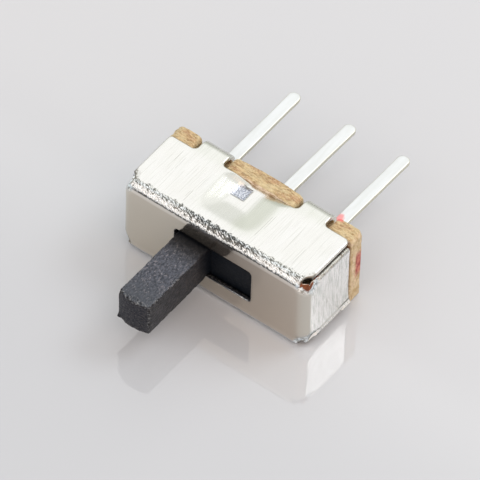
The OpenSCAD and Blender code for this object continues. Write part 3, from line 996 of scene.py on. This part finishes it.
def slider_material():
    m = Nodes("slider_plastic")
    place = m.place()
    _, y, z = m.axes(place)
    wear, on_top, outside = map(m.attribute, ("wear", "on_top", "outside"))
    mottle = m.noise(place, (9, 6, 9), 4, 0.65)
    fine = m.noise(place, (17, 10, 17), 2, 0.65, 3)
    coarse = m.noise(place, (3, 2, 4), 4, 0.7, 13)
    chips = m.noise(place, (12, 12, 12), 3, 0.6, 8)
    tip = KNOB_TIP + FRONT_Y
    near_tip = m.spread(y, tip + 1.5, tip + 0.3, 0, 0.55)
    # Painted shade: inside the case the plastic is painted darker than the knob, bluer towards the front, and
    # darker still towards the top under the slot's upper edge.
    root = m.coats(
        m.mix(m.spread(mottle, 0.38, 0.66), (0.0035, 0.004, 0.006), (0.022, 0.0235, 0.0235)),
        ((0.0014, 0.0044, 0.0098), m.spread(y, FRONT_Y - 1.6, FRONT_Y - 0.3, 0, 0.8)),
        ((0.0018, 0.0024, 0.004), m.spread(z, MIDDLE + 0.3, MIDDLE + 0.62, 0, 0.75)))
    knob = m.mix(m.spread(mottle, 0.35, 0.7), (0.010, 0.0115, 0.016), (0.040, 0.044, 0.054))
    # The top face is painted lighter and bluer than the sides, a painted sheen from the bright sky above.
    top = m.spread(m.noise(place, (13, 9, 13), 3, 0.6, 24), 0.36, 0.64)
    top = m.coats(m.mix(top, (0.031, 0.038, 0.052), (0.084, 0.095, 0.124)), ((0.052, 0.063, 0.078), near_tip))
    black = m.coats(
        m.mix(outside, root, knob),
        ((0.0035, 0.0055, 0.014), m.spread(y, tip + 0.15, tip + 0.07),
         m.spread(mottle, 0.35, 0.65, 0.9, 0.4)),
        ((0.10, 0.10, 0.11), outside, m.spread(coarse, 0.5, 0.62), m.spread(fine, 0.5, 0.62), 0.45),
        (top, on_top),
        ((0.23, 0.235, 0.29), on_top, m.spread(fine, 0.585, 0.665), m.blend(near_tip, 0.8, 0.2)),
        ((0.15, 0.14, 0.13), outside, m.spread(fine, 0.56, 0.66), 0.3),
        ((0.20, 0.215, 0.225), wear, m.spread(chips, 0.53, 0.64), 0.85),
        ((0.003, 0.003, 0.004), wear, m.spread(chips, 0.47, 0.40)))
    normal = m.bump(mottle, 0.05, 0.45, Normal=m.bump(fine, 0.03, 0.5))
    shine = m.blend(outside, 0.2, m.spread(mottle, 0.36, 0.64, 0.2, 0.42))
    return m.finish(black, m.spread(mottle, 0.3, 0.7, 0.42, 0.6), 0, Normal=normal, Specular_IOR_Level=shine)


def clip_material():
    m = Nodes("clip_bronze")
    streaks = m.noise(m.place(), (2, 12, 12))
    tone = m.mix(m.spread(streaks, 0.3, 0.7), (0.80, 0.60, 0.38), (0.70, 0.48, 0.28))
    return m.finish(tone, m.spread(streaks, 0.3, 0.7, 0.28, 0.4), 1, Normal=m.bump(streaks, 0.01, 0.3))


def floor_material():
    m = Nodes("floor")
    place = m.place()
    right, back, _ = m.axes(place)
    # Painted light: the floor is painted darker towards the front and lighter towards the back, a painted
    # falloff of the light.
    tone = m.mix(m.spread(back, -9.5, 3.5), (0.465, 0.502, 0.553), (0.562, 0.597, 0.645))
    cloud = m.noise(place, (0.02, 0.02, 0.02), 2)
    tone = m.coats(tone, ((0.58, 0.60, 0.63), m.spread(cloud, 0.3, 0.7, 0, 0.15)))
    gloss = m.times(m.spread(back, FRONT_Y + 0.8, FRONT_Y + 3.2, 1, 0.15), m.spread(right, 1, 4, 0.75, 1))
    return m.finish(tone, 0.6, 0, Coat_Weight=gloss, Coat_Roughness=0.004, Coat_IOR=1.7)


# ---------------------------------------------------------------- studio
AZIMUTH, ELEVATION, ROLL = math.radians(35.65), math.radians(50.15), math.radians(1.94)
CAMERA_DISTANCE, LENS, SENSOR = 212.2, 426.4, 36
AIM_BACK, AIM_ACROSS, AIM_UP = 1.5, 0.1273, 0.0198


def set_camera():
    """A long lens from the front right, fitted to the corners of the part."""
    level_part = math.cos(ELEVATION)
    back = Vector((math.sin(AZIMUTH) * level_part, -math.cos(AZIMUTH) * level_part, math.sin(ELEVATION)))
    level = Vector((math.cos(AZIMUTH), math.sin(AZIMUTH), 0))
    rise = back.cross(level)
    across = math.cos(ROLL) * level + math.sin(ROLL) * rise
    up = -math.sin(ROLL) * level + math.cos(ROLL) * rise
    aim = Vector((0, AIM_BACK + FRONT_Y, MIDDLE)) + across * AIM_ACROSS + up * AIM_UP
    data = bpy.data.cameras.new("camera")
    data.sensor_width, data.lens = SENSOR, LENS
    data.clip_start, data.clip_end = 0.01, 2
    turn = Matrix((across, up, back)).transposed().to_4x4()
    camera = in_scene("camera", data)
    camera.matrix_world = Matrix.Translation((aim + back * CAMERA_DISTANCE) * MM) @ turn
    bpy.context.scene.camera = camera


# Patches of the room: direction, the cosines off it where the patch starts and is full, and colour.
SKY_PATCHES = [
    ((-0.373, -0.768, 0.521), 0.70, 0.90, (1.46, 1.36, 1.28)),
    ((0.75, -0.47, 0.47), 0.45, 0.80, (1.55, 1.28, 1.12)),
    ((-0.373, 0.521, 0.768), 0.91, 0.985, (1.27, 1.27, 1.265)),
    ((-0.34, -0.12, 0.93), 0.95, 0.985, (0.10, 0.09, 0.08))
]
LAMP_TOWARDS = Vector((0.34, 0.545, 0.767))
LAMP_DISTANCE, LAMP_WIDTH, LAMP_HEIGHT, LAMP_POWER = 0.3, 0.13, 0.11, 0.205


def set_light():
    """A pale room with brighter and darker patches and a dark horizon, and a soft lamp at the back right."""
    m = Nodes("studio", bpy.data.worlds)
    bpy.context.scene.world = m.owner
    direction = m.add("TexCoord", {})["Generated"]
    _, _, up = m.axes(direction)
    sky = m.mix(m.spread(up, 0.35, 0.60), (0.74, 0.755, 0.70), (0.93, 0.94, 0.915))
    for patch, start, full, colour in SKY_PATCHES:
        towards = Vector(patch).normalized()
        facing = m.add("VectorMath", {"operation": "DOT_PRODUCT"}, direction, towards)["Value"]
        sky = m.mix(m.spread(facing, start, full), sky, colour)
    sky = m.mix(m.spread(m.away(up), 0.12, 0.05), sky, (0.16, 0.15, 0.14))
    m.add("OutputWorld", {}, Surface=m.add("Background", {}, Color=sky)[0])
    lamp = bpy.data.lights.new("soft_lamp", "AREA")
    lamp.shape, lamp.size, lamp.size_y, lamp.energy = "RECTANGLE", LAMP_WIDTH, LAMP_HEIGHT, LAMP_POWER
    holder = in_scene("soft_lamp", lamp)
    holder.location = LAMP_TOWARDS * LAMP_DISTANCE
    holder.rotation_euler = LAMP_TOWARDS.to_track_quat("Z", "Y").to_euler()


def build_floor():
    mesh = bpy.data.meshes.new("floor")
    reach = 0.6
    corners = [(-reach, -reach, 0), (reach, -reach, 0), (reach, reach, 0), (-reach, reach, 0)]
    mesh.from_pydata(corners, [], [(0, 1, 2, 3)])
    obj = in_scene("floor", mesh)
    obj.data.materials.append(floor_material())


def dress(obj, material, body, stands_for):
    obj.data.materials.clear()
    obj.data.materials.append(material)
    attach(obj, body)
    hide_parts(stands_for)


set_camera()
set_light()
bpy.context.scene.view_settings.view_transform = "Standard"
build_floor()

dress(build_case(), case_material(), "housing", "case")
dress(build_plate(), plate_material(), "housing", "base_plate")
silver = terminal_material()
# Each terminal: side, place along X, how far its free end leans along X, and the seed of its waviness.
for side, x, bend, seed in (("left", -PIN_PITCH, 0.0, 1.0), ("centre", 0.0, 0.1, 2.0),
                            ("right", PIN_PITCH, 0.09, 3.0)):
    pin = build_terminal(f"terminal_{side}_strip", x, bend, seed)
    dress(pin, silver, "housing", f"terminal_{side}")
dress(build_slider(), slider_material(), "slider", "slider")

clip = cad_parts["contact_clip"]
clip.data.materials.clear()
clip.data.materials.append(clip_material())
